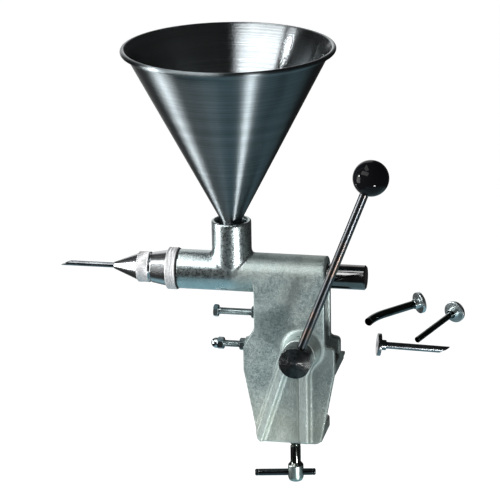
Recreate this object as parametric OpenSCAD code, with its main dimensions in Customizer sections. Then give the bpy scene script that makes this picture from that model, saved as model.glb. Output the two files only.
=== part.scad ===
// Hand-lever filling machine for pastry, held to a table edge by its own screw clamp.
// The hopper feeds a barrel, and a plunger driven by the lever pushes one portion through the nozzle.
// Every shape is drawn from the point where the hopper's axis crosses the barrel's axis, X to the
// rear of the barrel, Y away from the operator, Z up, and seated() then moves it to the part's own
// origin: the underside of the upper jaw, on the clamp screw's axis.

/* [Barrel and plunger] */
// Outside diameter of the cast barrel
barrel_d = 45; // [42:0.5:50]
// Distance from the hopper axis to the barrel's front face
barrel_front = 61; // [54:1:74]
// Distance from the hopper axis to the barrel's rear face
barrel_rear = 109; // [105:1:120]
// Diameter of the plunger
plunger_d = 28; // [26:0.5:30]
// Length of the plunger
plunger_len = 137; // [130:1:160]
// Front end of the plunger behind the hopper axis, with the lever at rest
plunger_front = 16; // [15:0.5:18]

/* [Hopper and spout] */
// Height of the spout's mouth above the barrel axis
spout_h = 61; // [54:1:76]
// Bore of the spout that takes the hopper's spigot
spout_bore_d = 34.6; // [33:0.2:37]
// Depth of that bore
spout_bore_deep = 24; // [16:1:28]
// Diameter of the hopper over its rolled rim
hopper_d = 238; // [180:2:300]
// Height of the hopper's rim above the spout's mouth
hopper_h = 199; // [150:1:240]
// Diameter of the hopper's spigot
spigot_d = 33; // [31:0.2:33.6]
// Thickness of the hopper's sheet
sheet_t = 1.2; // [0.8:0.1:2]
// Thickness of the rolled rim
rim_d = 5.6; // [4:0.2:8]

/* [Lever and crank] */
// Pivot behind the hopper axis
pivot_x = 83.5; // [80:0.5:88]
// Pivot below the barrel axis
pivot_drop = 80.8; // [78:0.2:84]
// Lean of the lever to the rear at rest, in degrees
lever_lean = 21.5; // [10:0.5:30]
// Swing of the lever from rest to the end of its stroke, in degrees
lever_swing = 26; // [20:1:26]
// Distance from the pivot to the centre of the ball knob
lever_len = 231; // [180:1:280]
// Diameter of the lever rod
rod_d = 10; // [8:0.5:12]
// Diameter of the ball knob
knob_d = 40; // [32:1:50]
// Lean of the crank arm to the rear at rest, in degrees
arm_lean = 10; // [8:0.5:11]
// Distance from the pivot to the centre of the crank arm's round head
arm_len = 81.5; // [81:0.1:82]
// Diameter of the lever shaft
shaft_d = 16; // [14:0.5:18]
// Diameter of the shaft's head
head_d = 36; // [30:1:40]
// Length of the shaft's head
head_len = 24; // [20:1:30]

/* [Neck and clamp] */
// Front face of the neck behind the hopper axis
neck_front = 28.4; // [26:0.2:31]
// Thickness of the neck's side walls
wall = 7.5; // [6:0.5:8]
// Clamp screw axis behind the hopper axis
screw_x = 67.8; // [66:0.2:69]
// Clamp screw axis beyond the barrel axis, away from the operator
screw_y = 12; // [8:0.5:16]
// Width of the upper jaw and of the clamp plate's upper part
jaw_w = 104.6; // [100:0.2:110]
// Width of the clamp plate's foot and of the lower jaw
foot_w = 72.2; // [60:0.2:80]
// Thickness of the clamp plate
plate_t = 8; // [7:0.5:10]
// Underside of the upper jaw's pad below the barrel axis
table_drop = 114; // [113:0.5:120]
// Opening between the pad and the lower jaw
throat_h = 68.6; // [60:0.2:90]
// Thickness of the lower jaw
lower_jaw_t = 12.9; // [10:0.1:16]
// Reach of the upper jaw beyond the barrel axis
upper_reach = 50; // [44:1:60]
// Reach of the lower jaw beyond the barrel axis
lower_reach = 45; // [34:1:50]
// Thickness of the upper jaw's pad
jaw_pad_t = 3; // [2:0.5:4]
// Diameter of the clamp spindle
spindle_d = 12; // [10:0.5:14]
// Thickness of table that the clamp holds as drawn
table_gap = 50; // [40:1:54]
// Length of the tommy bar
bar_len = 70; // [60:1:90]

/* [Outlet] */
// Diameter of the reducer's grip ring
reducer_d = 48; // [46:0.5:54]
// Diameter of the union nut's grip ring
nut_d = 35; // [34:0.5:38]
// Outside diameter of the fitted nozzle's tube
nozzle_d = 6; // [5:0.2:7]
// Length of the fitted nozzle's tube in front of its flange
nozzle_len = 94; // [70:1:110]
// Diameter of every nozzle's flange
flange_d = 26; // [25:0.2:27]
// Thickness of every nozzle's flange
flange_t = 4.5; // [3.5:0.1:5]

/* [Stop screws] */
// Thread diameter of both stop screws
stop_d = 8; // [6:1:8]
// Width across flats of their nuts and head
stop_af = 13; // [12:0.5:14]
// Length of the upper stop screw under its head
upper_stop_len = 80; // [70:0.5:80]
// Upper stop screw below the barrel axis
upper_stop_drop = 48; // [44:0.5:52]
// Lower stop screw below the barrel axis
lower_stop_drop = 87; // [86:0.5:89]
// Length of the lower stop stud
lower_stop_len = 92; // [84:0.5:92]

/* [Spare nozzles] */
// Outside diameter of the curved spare nozzle
curved_d = 10; // [8:0.2:11]
// Outside diameter of the short spare nozzle
short_d = 7.2; // [6:0.2:8]
// Outside diameter of the straight spare nozzle
straight_d = 8; // [7:0.2:9]

/* [Hidden] */

$fn = 72;
// Overrun of every cut past the face it opens
over = 1;
// Radial clearance of a shaft or rod that turns or slides in its hole
run_gap = 0.05;
// Gap left between faces that meet only at a stop
stop_gap = 0.3;
// Length of a broken edge on turned pieces
chamfer = 1;
// Points along each rounded corner of an outline
corner_steps = 6;
// Facets of the round slices that are blended by hulls
blend_fn = 32;

// Cast housing
cast_r = 5;
spout_blend = 4;
spout_chamfer = 2.2;
feed_d = plunger_d;
spigot_seat_deep = 14;
spigot_seat_d = 36;
neck_back_wall = 6;
neck_slope_drop = 60;
neck_half = barrel_d / 2;
pedestal_drop = 82;
pedestal_rise = 3;
chamber_floor_drop = 100;
chamber_roof_drop = 19;
slot_front = 48;
arm_t = 10;
slot_side = 1.8;
slot_half = arm_t / 2 + slot_side;
jaw_under_drop = table_drop - jaw_pad_t;
plate_shoulder_drop = 110;
foot_r = 8;
lower_jaw_top_drop = table_drop + throat_h;
foot_drop = lower_jaw_top_drop + lower_jaw_t;
lip_edge_t = 4;
lip_root_drop = 98;
screw_boss_d = 28;
screw_boss_t = 5;
stop_boss_d = 19;
stop_boss_out = 1.5;
plate_in = -neck_half + plate_t;
jaw_left = screw_x - jaw_w / 2;
jaw_right = screw_x + jaw_w / 2;
foot_left = screw_x - foot_w / 2;
foot_right = screw_x + foot_w / 2;
chamber_front = neck_front + neck_back_wall;
chamber_half = neck_half - wall;

// Bearing bosses of the lever shaft
boss_root_r = 21;
boss_face_r = 18.6;
boss_len = 22.5;
boss_fillet = 3;
rear_boss_r = 17;
rear_boss_len = 7;
bush_t = 3;
bush_r = shaft_d / 2 + bush_t;
oil_hole_d = 3.6;
oil_hole_share = 0.55;
rib_h = 5;
rib_draft = 2;
left_rib_w = 13;
left_rib_lean = 18;
right_rib_w = 13.4;
right_rib_off = 1.7;
web_drop = 32;

// Lever, shaft and crank
head_gap = 0.6;
shaft_end = 36;
circlip_t = 1.2;
circlip_r = 11;
groove_deep = 0.6;
washer_t = 1.4;
washer_r = 13;
end_float = 0.1;
arm_hub_half = chamber_half - washer_t - end_float;
arm_hub_r = 11;
arm_root_half = 9;
arm_face_len = 46;
arm_neck_half = 4.5;
arm_neck_len = 17;
arm_end = arm_lean - lever_swing;
arm_head_r = 8;
arm_head_gap = 0.4;
heel_len = 14;
heel_half = 6.5;
pin_d = 6;
pin_bore_share = 0.6;
pin_slit = 1;
rod_seat = 12;
rod_plane_share = 0.43;
countersink_r = 7;
countersink_deep = 2;
knob_flat_share = 0.47;
knob_bore_deep = 16;
centre_d = 3;

// Plunger
plunger_chamfer = 1.5;
ring_set_back = 6;
ring_w = 2.6;
ring_deep = 2;
head_x = pivot_x + arm_len * sin(arm_lean);

// Hopper
seal_t = 2;
spigot_len = spout_bore_deep - seal_t;
rim_seam_share = 0.65;
rim_in = hopper_d / 2 - rim_d * rim_seam_share;
outlet_tube_r = 11.8;
collar_drop = 8;
flare_drop = 9;
flare_out = 4.6;
flare_r = rim_in - flare_out;

// Outlet
gasket_t = 1;
reducer_ring_len = 11.5;
reducer_cone_len = 18.5;
reducer_cone_r = 20.8;
reducer_nose_r = 17.5;
groove_len = 2;
groove_r = 15.8;
groove_teeth = 28;
tooth_deep = 1;
thread_r = 14;
thread_len = 7;
outlet_r = 5;
reducer_end = -barrel_front - gasket_t;
reducer_cone_end = reducer_end - reducer_ring_len - reducer_cone_len;
thread_end = reducer_cone_end - groove_len - thread_len;
nozzle_seal_t = 1;
flange_back = thread_end - nozzle_seal_t;
flange_front = flange_back - flange_t;
nut_wall = 3;
nut_ring_len = 14;
nut_cone_len = 29;
nut_nose_r = 4;
nut_cone_r = 15.75;
nut_back = reducer_cone_end - groove_len;
nut_nose = nut_back - nut_ring_len - nut_cone_len;
hub_r = 6;
hub_len = 6;
tube_wall = 0.6;
bevel_len = 13;
curved_wall = 0.8;

// Stop screws
stop_head_t = 5.5;
stop_nut_t = 6.5;
dome_nut_t = 15;
dome_hex_t = 7;
// The upper stop's tip meets the arm's front face at the end of the swing
stop_rise = pivot_drop - upper_stop_drop + stop_d / 2 - chamfer;
upper_stop_tip = pivot_x + (stop_rise * sin(arm_end) - arm_root_half - stop_gap) / cos(arm_end);
lower_stop_tip = pivot_x - arm_hub_r - stop_gap;
dome_bore = 9.8;
dome_back = lower_stop_tip - lower_stop_len + dome_bore - chamfer;
dome_r = 6.2;

// Clamp
pad_r = 13;
pad_t = 10;
pad_skin = 1.5;
ball_r = 4.5;
ball_drop = ball_r + pad_skin;
ball_mouth_r = 3.9;
ball_neck_r = 3;
ball_play = 0.4;
spindle_head_d = 18;
spindle_head_len = 23;
spindle_head_drop = 232;
bar_d = 8;
bar_drop = 245;
bar_off = -12;
bar_turn = 11;
pad_top = -table_drop - table_gap;
spindle_top = pad_top - pad_t - chamfer;

// Spare nozzles, lying on the table's surface, placed from the part's origin
curved_at = [116.2, 200.4];
curved_aim = 219.3;
curved_run = 46.9;
curved_bend_r = 45;
curved_bend = 36.3;
short_at = [161.2, 175.3];
short_aim = 246.5;
short_len = 82;
straight_at = [87.5, 47.2];
straight_aim = 13.9;
straight_len = 79.5;
straight_bevel = 13;

function unit(v) = v / norm(v);
function corner(p, q, s) =
    let (u = unit([p.x - q.x, p.y - q.y]), v = unit([s.x - q.x, s.y - q.y]),
         half = acos(u * v) / 2, mid = [q.x, q.y] + unit(u + v) * q.z / sin(half),
         from = [q.x, q.y] + u * q.z / tan(half) - mid, to = [q.x, q.y] + v * q.z / tan(half) - mid,
         a = atan2(from.y, from.x), turn = atan2(from.x * to.y - from.y * to.x, from * to))
    q.z == 0 ? [[q.x, q.y]]
             : [for (i = [0:corner_steps]) mid + q.z * [cos(a + turn * i / corner_steps),
                                                        sin(a + turn * i / corner_steps)]];
// Outline of corners [x, y, radius] with every corner rounded to its radius
function rounded(c) =
    [for (i = [0:len(c) - 1]) each corner(c[(i + len(c) - 1) % len(c)], c[i], c[(i + 1) % len(c)])];

module seated() translate([-screw_x, -screw_y, table_drop]) children();
module bar_x(from, to, r) translate([from, 0, 0]) rotate([0, 90, 0]) cylinder(h = to - from, r = r);
module bar_y(from, to, r) translate([0, to, 0]) rotate([90, 0, 0]) cylinder(h = to - from, r = r);
module revolve_x(outline) rotate([0, 90, 0]) rotate_extrude() polygon(outline);
module slab_y(from, to, outline)
    translate([0, to, 0]) rotate([90, 0, 0]) linear_extrude(to - from) polygon(outline);
module block(from, to) translate(from) cube(to - from);
module at_pivot() translate([pivot_x, 0, -pivot_drop]) children();
module bar_x_hex(from, to, r)
    translate([from, 0, 0]) rotate([0, 90, 0]) cylinder(h = to - from, r = r, $fn = 6);

// Slices of the barrel, the spout and the ellipse halfway between them, hulled into a cast fillet
// that stays above the barrel's axis
module spout_fillet(side) {
    reach = neck_half + spout_blend;
    mid = neck_half + spout_blend * (1 - sqrt(0.5));
    mid_turn = 45;
    tilt = sqrt(2) * mid / neck_half;
    module slice(turn, stretch)
        rotate([0, turn, 0]) scale([stretch, 1, 1])
            cylinder(h = chamfer / 10, r = neck_half - run_gap, center = true, $fn = blend_fn);
    intersection() {
        union() {
            hull() {
                translate([side * reach, 0, 0]) slice(mid_turn * 2, 1);
                slice(side * mid_turn, tilt);
            }
            hull() {
                translate([0, 0, reach]) slice(0, 1);
                slice(side * mid_turn, tilt);
            }
        }
        block([-reach - over, -barrel_d, 0], [reach + over, barrel_d, spout_h]);
    }
}

module rib(outline, draft_outline) hull() {
    slab_y(-neck_half - chamfer / 10, -neck_half + over, outline);
    slab_y(-neck_half - rib_h, -neck_half - rib_h + chamfer / 10, draft_outline);
}

// Corners of the clamp plate below its shoulders
function foot_corners() = [
    [jaw_left, -plate_shoulder_drop, cast_r], [foot_left, -foot_drop, foot_r],
    [foot_right, -foot_drop, foot_r], [jaw_right, -plate_shoulder_drop, cast_r]];

module left_rib() {
    across = [cos(left_rib_lean), -sin(left_rib_lean)];
    along = [-sin(left_rib_lean), -cos(left_rib_lean)];
    run = (foot_drop - pivot_drop) / cos(left_rib_lean) + left_rib_w;
    function at(off, far) = [pivot_x, -pivot_drop] + off * across + far * along;
    outer = -boss_root_r;
    inner = outer + left_rib_w;
    intersection() {
        rib([at(outer, 0), at(inner, 0), at(inner, run), at(outer, run)],
            [at(outer + rib_draft, 0), at(inner - rib_draft, 0), at(inner - rib_draft, run),
             at(outer + rib_draft, run)]);
        slab_y(-neck_half - rib_h - over, neck_half,
            rounded(concat([[jaw_left, 0, 0]], foot_corners(), [[jaw_right, 0, 0]])));
    }
}

module right_rib() {
    left = pivot_x + right_rib_off - right_rib_w / 2;
    right = left + right_rib_w;
    rib([[left, -pivot_drop], [right, -pivot_drop], [right, -foot_drop], [left, -foot_drop]],
        [[left + rib_draft, -pivot_drop], [right - rib_draft, -pivot_drop],
         [right - rib_draft, -foot_drop + rib_draft], [left + rib_draft, -foot_drop + rib_draft]]);
}

module boss_web() {
    left = pivot_x + right_rib_off - right_rib_w / 2;
    right = left + right_rib_w;
    slab_y(-neck_half - rib_h, -neck_half + over,
        [[left + rib_draft, -pivot_drop], [pivot_x + boss_face_r, -pivot_drop - boss_fillet],
         [right - rib_draft, -pivot_drop - web_drop], [left + rib_draft, -pivot_drop - web_drop]]);
}

module housing_solid() {
    bar_x(-barrel_front, barrel_rear, barrel_d / 2);
    cylinder(h = spout_h, r = barrel_d / 2);
    for (side = [-1, 1]) spout_fillet(side);
    // Neck, pedestal and upper jaw in one outline
    slab_y(-neck_half, neck_half, rounded([
        [neck_front, 0, 0], [neck_front, -neck_slope_drop, cast_r * 2],
        [jaw_left, -pedestal_drop, cast_r], [jaw_left, -jaw_under_drop, 0],
        [jaw_right, -jaw_under_drop, 0], [jaw_right, -pedestal_drop + pedestal_rise, cast_r],
        [barrel_rear, -pedestal_drop + pedestal_rise + cast_r / 2, chamfer], [barrel_rear, 0, 0]]));
    // Clamp plate
    slab_y(-neck_half, plate_in, rounded(concat(
        [[jaw_left, -pedestal_drop, cast_r]], foot_corners(),
        [[jaw_right, -pedestal_drop + pedestal_rise, cast_r]])));
    // Upper jaw's lip, thinner towards its edge
    translate([jaw_left, 0, 0]) rotate([90, 0, 90]) linear_extrude(jaw_w) polygon([
        [neck_half - over, -lip_root_drop], [neck_half, -lip_root_drop],
        [upper_reach, -jaw_under_drop + lip_edge_t], [upper_reach, -jaw_under_drop],
        [neck_half - over, -jaw_under_drop]]);
    // Lower jaw with the boss that the clamp screw threads through
    translate([0, 0, -foot_drop]) linear_extrude(lower_jaw_t) polygon(rounded([
        [foot_left, plate_in - over, 0], [foot_right, plate_in - over, 0],
        [foot_right, lower_reach, cast_r * 2], [foot_left, lower_reach, cast_r * 2]]));
    translate([screw_x, screw_y, -foot_drop - screw_boss_t])
        cylinder(h = screw_boss_t + over, r = screw_boss_d / 2);
    // Bearing bosses and ribs
    at_pivot() {
        bar_y(-neck_half - boss_len, -neck_half + over, boss_face_r);
        translate([0, -neck_half, 0]) rotate([90, 0, 0])
            cylinder(h = boss_len, r1 = boss_root_r, r2 = boss_face_r);
        translate([0, -neck_half, 0]) rotate([90, 0, 0])
            cylinder(h = boss_fillet, r1 = boss_root_r + boss_fillet, r2 = boss_root_r - boss_fillet / 5);
        bar_y(neck_half - over, neck_half + rear_boss_len, rear_boss_r);
    }
    left_rib();
    right_rib();
    boss_web();
    // Boss of the lower stop
    translate([0, 0, -lower_stop_drop])
        bar_x(jaw_left - stop_boss_out, chamber_front, stop_boss_d / 2);
}

module housing() color("#9aa5a3") seated() difference() {
    housing_solid();
    // Plunger bore, outlet seat, feed passage and spout
    bar_x(-barrel_front - over, barrel_rear + over, plunger_d / 2 + run_gap);
    bar_x(-barrel_front - over, -barrel_front + spigot_seat_deep, spigot_seat_d / 2);
    cylinder(h = spout_h, r = feed_d / 2);
    translate([0, 0, spout_h - spout_bore_deep])
        cylinder(h = spout_bore_deep + over, r = spout_bore_d / 2);
    translate([0, 0, spout_h - spout_chamfer])
        cylinder(h = spout_chamfer * 2, r1 = spout_bore_d / 2, r2 = spout_bore_d / 2 + spout_chamfer * 2);
    // Crank chamber, open to the rear, and the slot up to the plunger
    block([chamber_front, -chamber_half, -chamber_floor_drop],
          [jaw_right + over, chamber_half, -chamber_roof_drop]);
    block([slot_front, -slot_half, -chamber_roof_drop - over], [barrel_rear + over, slot_half, 0]);
    // Seats of the shaft's bushes and the oil hole
    at_pivot() {
        bar_y(-neck_half - boss_len - over, 0, bush_r);
        bar_y(0, neck_half + rear_boss_len + over, bush_r);
        translate([0, -neck_half - boss_len * oil_hole_share, 0])
            cylinder(h = boss_root_r + over, r = oil_hole_d / 2);
    }
    // Tapped holes of the stops and of the clamp screw
    translate([0, 0, -upper_stop_drop]) bar_x(neck_front - over, chamber_front + over, stop_d / 2 + run_gap);
    translate([0, 0, -lower_stop_drop])
        bar_x(jaw_left - stop_boss_out - over, chamber_front + over, stop_d / 2 + run_gap);
    translate([screw_x, screw_y, -foot_drop - screw_boss_t - over])
        cylinder(h = lower_jaw_t + screw_boss_t + 2 * over, r = spindle_d / 2 + run_gap);
}

module bush(from, to) at_pivot() difference() {
    bar_y(from, to, bush_r);
    bar_y(from - over, to + over, shaft_d / 2 + run_gap);
}

module front_bush() color("#b08d57") seated() difference() {
    bush(-neck_half - boss_len, -chamber_half);
    at_pivot() translate([0, -neck_half - boss_len * oil_hole_share, 0])
        cylinder(h = boss_root_r, r = oil_hole_d / 2);
}

module rear_bush() color("#b08d57") seated() bush(chamber_half, neck_half + rear_boss_len);

// Direction of the lever, from the pivot to the knob
module along_lever() at_pivot() rotate([0, lever_lean, 0]) children();
function head_front() = -neck_half - boss_len - head_gap - head_len;
function rod_y() = head_front() + head_len * rod_plane_share;

module lever_shaft() color("#6f757a") seated() difference() {
    at_pivot() rotate([90, 0, 0]) rotate_extrude() polygon([
        [0, -shaft_end], [shaft_d / 2 - chamfer, -shaft_end], [shaft_d / 2, -shaft_end + chamfer],
        [shaft_d / 2, -neck_half - rear_boss_len - stop_gap - circlip_t],
        [shaft_d / 2 - groove_deep, -neck_half - rear_boss_len - stop_gap - circlip_t],
        [shaft_d / 2 - groove_deep, -neck_half - rear_boss_len - stop_gap],
        [shaft_d / 2, -neck_half - rear_boss_len - stop_gap],
        [shaft_d / 2, -head_front() - head_len], [head_d / 2 - chamfer, -head_front() - head_len],
        [head_d / 2, -head_front() - head_len + chamfer], [head_d / 2, -head_front() - chamfer],
        [head_d / 2 - chamfer, -head_front()], [centre_d / 2, -head_front()],
        [0, -head_front() - centre_d / 2]]);
    translate([0, rod_y(), 0]) along_lever() {
        translate([0, 0, head_d / 2 - rod_seat]) cylinder(h = rod_seat + over, r = rod_d / 2);
        translate([0, 0, head_d / 2 - countersink_deep])
            cylinder(h = countersink_deep + over, r1 = rod_d / 2, r2 = countersink_r + over);
    }
    at_pivot() bar_x(-shaft_d, shaft_d, pin_d / 2);
}

module lever_rod() color("#53585d") seated() translate([0, rod_y(), 0]) along_lever()
    translate([0, 0, head_d / 2 - rod_seat])
        cylinder(h = lever_len - head_d / 2 + rod_seat - knob_d * knob_flat_share + knob_bore_deep,
                 r = rod_d / 2);

module ball_knob() color("#15161a") seated() translate([0, rod_y(), 0]) along_lever()
    translate([0, 0, lever_len]) difference() {
        sphere(d = knob_d);
        translate([0, 0, -knob_d * (1 + knob_flat_share)])
            cylinder(h = knob_d, r = knob_d);
        translate([0, 0, -knob_d])
            cylinder(h = knob_d * (1 - knob_flat_share) + knob_bore_deep, r = rod_d / 2);
    }

// The arm's outline stands upright on the pivot before it leans with the lever
module crank_arm() color("#8d9499") seated() at_pivot() difference() {
    union() {
        bar_y(-arm_hub_half, arm_hub_half, arm_hub_r);
        rotate([0, arm_lean, 0]) {
            slab_y(-arm_t / 2, arm_t / 2, [
                [-arm_root_half, 0], [arm_root_half, 0], [arm_neck_half, arm_len - arm_neck_len],
                [arm_neck_half, arm_len], [-arm_neck_half, arm_len],
                [-arm_neck_half, arm_len - arm_neck_len], [-arm_root_half, arm_face_len]]);
            translate([0, 0, arm_len]) bar_y(-arm_t / 2, arm_t / 2, arm_head_r);
        }
        block([-arm_hub_r, -heel_half, -heel_len], [0, heel_half, 0]);
    }
    bar_y(-arm_hub_half - over, arm_hub_half + over, shaft_d / 2);
    bar_x(-arm_hub_r - over, arm_hub_r + over, pin_d / 2);
}

module arm_pin() color("#5a5f63") seated() at_pivot() difference() {
    bar_x(-arm_hub_r + stop_gap, arm_hub_r, pin_d / 2);
    bar_x(-arm_hub_r, arm_hub_r + over, pin_d * pin_bore_share / 2);
    block([-arm_hub_r, -pin_slit / 2, 0], [arm_hub_r + over, pin_slit / 2, pin_d]);
}

module thrust_washers() color("#b08d57") seated() at_pivot() for (side = [0, 1]) mirror([0, side, 0])
    difference() {
        bar_y(arm_hub_half, arm_hub_half + washer_t, washer_r);
        bar_y(arm_hub_half - over, arm_hub_half + washer_t + over, shaft_d / 2);
    }

module shaft_circlip() color("#4b4f52") seated() at_pivot()
    translate([0, neck_half + rear_boss_len + stop_gap, 0]) difference() {
        bar_y(0, circlip_t, circlip_r);
        bar_y(-over, circlip_t + over, shaft_d / 2 - groove_deep);
        slab_y(-over, circlip_t + over,
               [[0, 0], [-circlip_r / 2, -circlip_r * 2], [circlip_r / 2, -circlip_r * 2]]);
    }

module plunger() color("#7c8287") seated() difference() {
    revolve_x([
        [0, plunger_front], [plunger_d / 2 - chamfer, plunger_front],
        [plunger_d / 2, plunger_front + chamfer], [plunger_d / 2, plunger_front + ring_set_back],
        [plunger_d / 2 - ring_deep, plunger_front + ring_set_back],
        [plunger_d / 2 - ring_deep, plunger_front + ring_set_back + ring_w],
        [plunger_d / 2, plunger_front + ring_set_back + ring_w],
        [plunger_d / 2, plunger_front + plunger_len - plunger_chamfer],
        [plunger_d / 2 - plunger_chamfer, plunger_front + plunger_len],
        [0, plunger_front + plunger_len]]);
    // Cross slot that the crank arm's round head works in
    block([head_x - arm_head_r - arm_head_gap, -arm_t / 2 - arm_head_gap, -plunger_d / 2 - over],
          [head_x + arm_head_r + arm_head_gap, arm_t / 2 + arm_head_gap,
           arm_len - pivot_drop + arm_head_r + arm_head_gap]);
}

module plunger_ring() color("#1d1e20") seated()
    translate([plunger_front + ring_set_back + ring_w / 2, 0, 0]) rotate([0, 90, 0])
        rotate_extrude() translate([plunger_d / 2 - ring_deep / 2, 0]) circle(d = ring_deep, $fn = 24);

module hopper() color("#6d7276") seated() translate([0, 0, spout_h]) {
    // Outlet tube with the collar that locates it in the spout, then the cone and its flare
    rotate_extrude($fn = 144) polygon([
        [outlet_tube_r - sheet_t, -spigot_len], [spigot_d / 2, -spigot_len],
        [spigot_d / 2, -collar_drop], [outlet_tube_r, -collar_drop], [outlet_tube_r, 0],
        [flare_r, hopper_h - flare_drop], [rim_in, hopper_h - rim_d / 2],
        [rim_in - sheet_t, hopper_h - rim_d / 2], [flare_r - sheet_t, hopper_h - flare_drop],
        [outlet_tube_r - sheet_t, sheet_t / 3]]);
    rotate_extrude($fn = 144) translate([hopper_d / 2 - rim_d / 2, hopper_h - rim_d / 2])
        circle(d = rim_d, $fn = 32);
}

module hopper_seal() color("#232426") seated() translate([0, 0, spout_h - spout_bore_deep]) difference() {
    cylinder(h = spout_bore_deep - spigot_len, r = spout_bore_d / 2);
    translate([0, 0, -over]) cylinder(h = spout_bore_deep, r = feed_d / 2);
}

module barrel_gasket() color("#232426") seated() difference() {
    bar_x(reducer_end, -barrel_front, reducer_d / 2 - chamfer);
    bar_x(reducer_end - over, -barrel_front + over, spigot_seat_d / 2);
}

module reducer() color("#b9bdbf") seated() {
    revolve_x([
        [feed_d / 2, -barrel_front + spigot_seat_deep - stop_gap],
        [outlet_r, reducer_cone_end], [outlet_r, thread_end], [thread_r - chamfer, thread_end],
        [thread_r, thread_end + chamfer], [thread_r, nut_back], [groove_r, nut_back],
        [groove_r, reducer_cone_end], [reducer_nose_r, reducer_cone_end],
        [reducer_cone_r, reducer_end - reducer_ring_len],
        [reducer_d / 2 - chamfer, reducer_end - reducer_ring_len],
        [reducer_d / 2, reducer_end - reducer_ring_len + chamfer],
        [reducer_d / 2, reducer_end - chamfer / 2], [reducer_d / 2 - chamfer / 2, reducer_end],
        [spigot_seat_d / 2 - run_gap, reducer_end],
        [spigot_seat_d / 2 - run_gap, -barrel_front + spigot_seat_deep - stop_gap]]);
    translate([nut_back, 0, 0]) rotate([0, 90, 0]) linear_extrude(groove_len) difference() {
        polygon([for (i = [0:2 * groove_teeth - 1]) let (a = 180 * i / groove_teeth)
                     (groove_r + (i % 2) * tooth_deep) * [cos(a), sin(a)]]);
        circle(r = thread_r);
    }
}

module nozzle_seal() color("#232426") seated() difference() {
    bar_x(flange_back, thread_end, flange_d / 2);
    bar_x(flange_back - over, thread_end + over, outlet_r);
}

// Nozzle along +X from the back of its flange, its last stretch cut off at an angle if it has a bevel
module nozzle_body(d, thick, len, bevel) difference() {
    union() {
        bar_x(0, flange_t, flange_d / 2);
        bar_x(0, flange_t + hub_len, max(hub_r, d / 2 + thick));
        bar_x(0, flange_t + len, d / 2);
    }
    bar_x(-over, flange_t + len + over, d / 2 - thick);
    if (bevel > 0)
        slab_y(-d, d, [
            [flange_t + len - bevel, d / 2], [flange_t + len, -d / 2],
            [flange_t + len + over, -d / 2], [flange_t + len + over, d],
            [flange_t + len - bevel, d]]);
}

module nozzle() color("#5d6267") seated() translate([flange_back, 0, 0]) mirror([1, 0, 0])
    nozzle_body(nozzle_d, tube_wall, nozzle_len, bevel_len);

module union_nut() color("#b9bdbf") seated() revolve_x([
    [thread_r + run_gap, nut_back - stop_gap], [thread_r + run_gap, flange_front - run_gap],
    [thread_r - nut_wall, flange_front - run_gap], [nozzle_d / 2 + stop_gap, nut_nose + nut_wall],
    [nozzle_d / 2 + stop_gap, nut_nose], [nut_nose_r, nut_nose],
    [nut_cone_r, nut_back - nut_ring_len], [nut_d / 2 - chamfer, nut_back - nut_ring_len],
    [nut_d / 2, nut_back - nut_ring_len + chamfer], [nut_d / 2, nut_back - stop_gap - chamfer / 2],
    [nut_d / 2 - chamfer / 2, nut_back - stop_gap]]);

// Hexagon along X with both faces chamfered to a circle
module hex_nut(from, to, bore_r) difference() {
    intersection() {
        bar_x_hex(from, to, stop_af / sqrt(3));
        revolve_x([[0, from], [stop_af / 2, from], [stop_af / sqrt(3), from + chamfer],
                   [stop_af / sqrt(3), to - chamfer], [stop_af / 2, to], [0, to]]);
    }
    bar_x(from - over, to + over, bore_r);
}

module upper_stop_screw() color("#8b9094") seated() translate([0, 0, -upper_stop_drop]) {
    bar_x(upper_stop_tip - upper_stop_len - chamfer / 10, upper_stop_tip - chamfer, stop_d / 2);
    translate([upper_stop_tip - chamfer, 0, 0]) rotate([0, 90, 0])
        cylinder(h = chamfer, r1 = stop_d / 2, r2 = stop_d / 2 - chamfer);
    hex_nut(upper_stop_tip - upper_stop_len - stop_head_t, upper_stop_tip - upper_stop_len, 0);
}

module upper_lock_nut() color("#7a7f83") seated() translate([0, 0, -upper_stop_drop])
    hex_nut(neck_front - stop_nut_t, neck_front, stop_d / 2 + run_gap);

module lower_stop_stud() color("#8b9094") seated() translate([0, 0, -lower_stop_drop]) {
    bar_x(lower_stop_tip - lower_stop_len, lower_stop_tip - chamfer, stop_d / 2);
    translate([lower_stop_tip - chamfer, 0, 0]) rotate([0, 90, 0])
        cylinder(h = chamfer, r1 = stop_d / 2, r2 = stop_d / 2 - chamfer);
}

module lower_lock_nut() color("#7a7f83") seated() translate([0, 0, -lower_stop_drop])
    hex_nut(jaw_left - stop_boss_out - stop_nut_t, jaw_left - stop_boss_out, stop_d / 2 + run_gap);

module dome_nut() color("#9ba0a3") seated() translate([0, 0, -lower_stop_drop]) difference() {
    union() {
        hex_nut(dome_back - dome_hex_t, dome_back, 0);
        bar_x(dome_back - dome_nut_t + dome_r, dome_back - dome_hex_t + chamfer, dome_r);
        translate([dome_back - dome_nut_t + dome_r, 0, 0]) sphere(r = dome_r);
    }
    bar_x(lower_stop_tip - lower_stop_len, dome_back + over, stop_d / 2);
}

module jaw_pad() color("#2b2c2e") seated() translate([0, 0, -table_drop]) linear_extrude(jaw_pad_t)
    polygon(rounded([
        [jaw_left + chamfer, plate_in + stop_gap, chamfer],
        [jaw_right - chamfer, plate_in + stop_gap, chamfer],
        [jaw_right - chamfer, upper_reach - chamfer, cast_r],
        [jaw_left + chamfer, upper_reach - chamfer, cast_r]]));

module at_screw() translate([screw_x, screw_y, 0]) children();

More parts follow.
